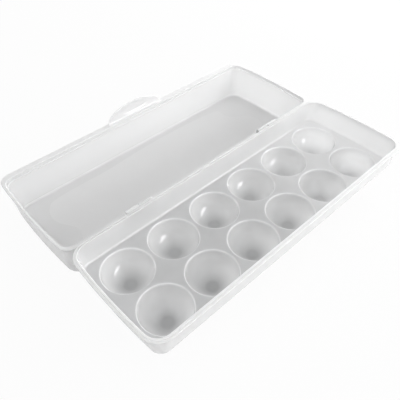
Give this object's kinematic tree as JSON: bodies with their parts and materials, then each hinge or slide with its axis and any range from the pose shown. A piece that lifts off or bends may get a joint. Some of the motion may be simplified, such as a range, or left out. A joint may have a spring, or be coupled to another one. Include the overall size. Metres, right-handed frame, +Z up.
{
  "type": "egg keeper",
  "caption": "Long frosted plastic egg keeper with a tray of round cups, lipped rims and a deep flip lid on two hinges, shown open.",
  "frame": {"origin": "on the table, under the middle of the open keeper's box", "axes": "+Z up, +X along the tray's length, +Y from the tray towards the open lid"},
  "size_m": [0.323, 0.2406, 0.0545],
  "materials": {
    "frosted_polypropylene": "frosted translucent, softly glossy"
  },
  "bodies": {
    "tray": {"cup_front_1": "frosted_polypropylene", "cup_front_2": "frosted_polypropylene", "cup_front_3": "frosted_polypropylene", "cup_front_4": "frosted_polypropylene", "cup_front_5": "frosted_polypropylene", "cup_front_6": "frosted_polypropylene", "cup_back_1": "frosted_polypropylene", "cup_back_2": "frosted_polypropylene", "cup_back_3": "frosted_polypropylene", "cup_back_4": "frosted_polypropylene", "cup_back_5": "frosted_polypropylene", "cup_back_6": "frosted_polypropylene", "tray_wall": "frosted_polypropylene", "tray_rim": "frosted_polypropylene", "tray_knuckle_left": "frosted_polypropylene", "tray_knuckle_right": "frosted_polypropylene"},
    "lid": {"lid_panel": "frosted_polypropylene", "lid_wall": "frosted_polypropylene", "lid_lip": "frosted_polypropylene", "lift_tab": "frosted_polypropylene", "lid_knuckle_left": "frosted_polypropylene", "lid_knuckle_right": "frosted_polypropylene"}
  },
  "joints": [
    {"name": "lid_hinge", "type": "hinge", "parent": "tray", "child": "lid", "pos_m": [0, -0.00403, 0.04405], "axis": [1, 0, 0], "range_deg": [0, 180]}
  ]
}
